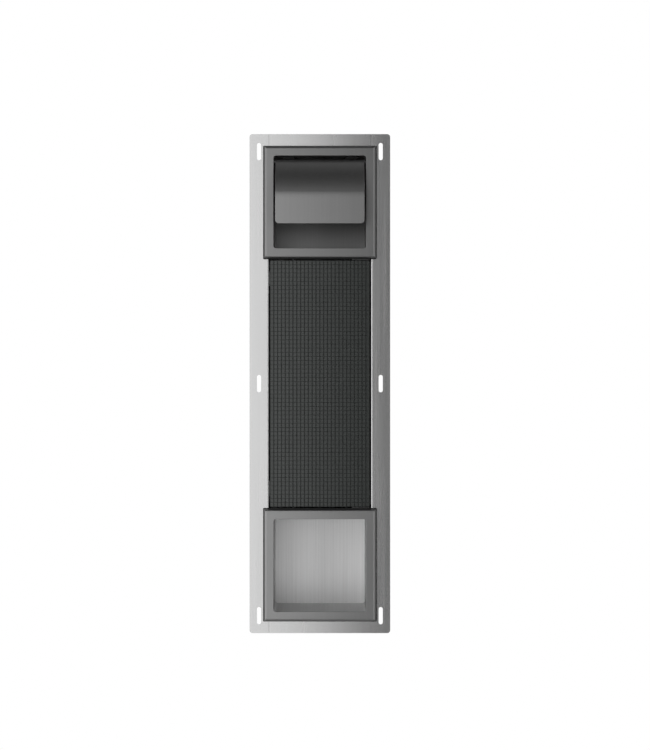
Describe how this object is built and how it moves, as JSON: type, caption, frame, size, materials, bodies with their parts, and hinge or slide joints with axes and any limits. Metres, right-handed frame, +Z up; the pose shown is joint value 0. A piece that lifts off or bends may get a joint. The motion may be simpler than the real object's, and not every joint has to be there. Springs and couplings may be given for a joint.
{
  "type": "recessed washroom niche panel",
  "caption": "Tall flanged steel wall panel, with a flap-covered toilet roll niche, a tileable door and an open niche, set into a wall.",
  "frame": {"origin": "centre of the mounting flange's back face, which lies on the wall", "axes": "+X to the right as seen from the room, +Y into the wall, +Z up"},
  "size_m": [0.186, 0.1195, 0.66],
  "materials": {
    "steel": "vertical brushed stainless sheet",
    "frame_steel": "gunmetal brushed stainless",
    "niche_steel": "fine vertical brushed stainless",
    "flap_steel": "gunmetal brushed stainless",
    "board": "moulded tile-bonding texture",
    "zinc": "zinc plated steel",
    "spring_steel": "drawn spring wire",
    "nylon": "moulded nylon",
    "rubber": "closed-cell seal rubber",
    "magnet": "nickel plated magnet"
  },
  "bodies": {
    "housing": {"left_side_sheet": "steel", "right_side_sheet": "steel", "top_end_cap": "steel", "bottom_end_cap": "steel", "back_sheet": "steel", "upper_divider": "steel", "lower_divider": "steel", "upper_frame": "frame_steel", "lower_frame": "frame_steel", "upper_frame_seal": "rubber", "lower_frame_seal": "rubber", "upper_tub": "frame_steel", "lower_tub": "niche_steel", "tub_studs": "zinc", "tub_spacers": "zinc", "tub_washers": "zinc", "tub_nuts": "zinc", "flap_bush_left": "nylon", "flap_bush_right": "nylon", "flap_hinge_rod": "zinc", "flap_rod_clips": "spring_steel", "spindle_seat_left": "nylon", "spindle_seat_right": "nylon", "seat_rivets": "zinc", "door_bracket_upper": "zinc", "door_bracket_lower": "zinc", "door_pivot_pins": "zinc", "bracket_rivets": "zinc", "door_stop_angles": "steel", "door_bumpers": "rubber", "latch_body": "nylon", "latch_screws": "zinc", "latch_spring": "spring_steel"},
    "flap": {"roll_flap": "flap_steel", "flap_stop_pads": "rubber"},
    "spindle": {"spindle_sleeve": "nylon", "spindle_spring": "spring_steel"},
    "spindle_end": {"spindle_plunger": "nylon"},
    "door": {"door_tray": "steel", "tile_backing_board": "board", "door_bush_upper": "nylon", "door_bush_lower": "nylon", "strike_plate": "zinc"},
    "latch_push_rod": {"latch_plunger": "nylon", "latch_magnet": "magnet"}
  },
  "joints": [
    {"name": "flap_hinge", "type": "hinge", "parent": "housing", "child": "flap", "pos_m": [0, -0.005, 0.293], "axis": [-1, 0, 0], "range_deg": [0, 85]},
    {"name": "spindle_spin", "type": "hinge", "parent": "housing", "child": "spindle", "pos_m": [0, 0.03, 0.24], "axis": [1, 0, 0], "continuous": true},
    {"name": "spindle_telescope", "type": "slide", "parent": "spindle", "child": "spindle_end", "axis": [-1, 0, 0], "range_m": [0, 0.004], "stiffness_N_per_m": 1500, "springref_m": -0.002, "deforming": ["spindle_spring"]},
    {"name": "door_hinge", "type": "hinge", "parent": "housing", "child": "door", "pos_m": [0.05, 0.0065, 0], "axis": [0, 0, 1], "range_deg": [0, 95]},
    {"name": "latch_press", "type": "slide", "parent": "housing", "child": "latch_push_rod", "axis": [0, 1, 0], "range_m": [0, 0.0035], "stiffness_N_per_m": 1200, "springref_m": -0.002, "deforming": ["latch_spring"]}
  ]
}
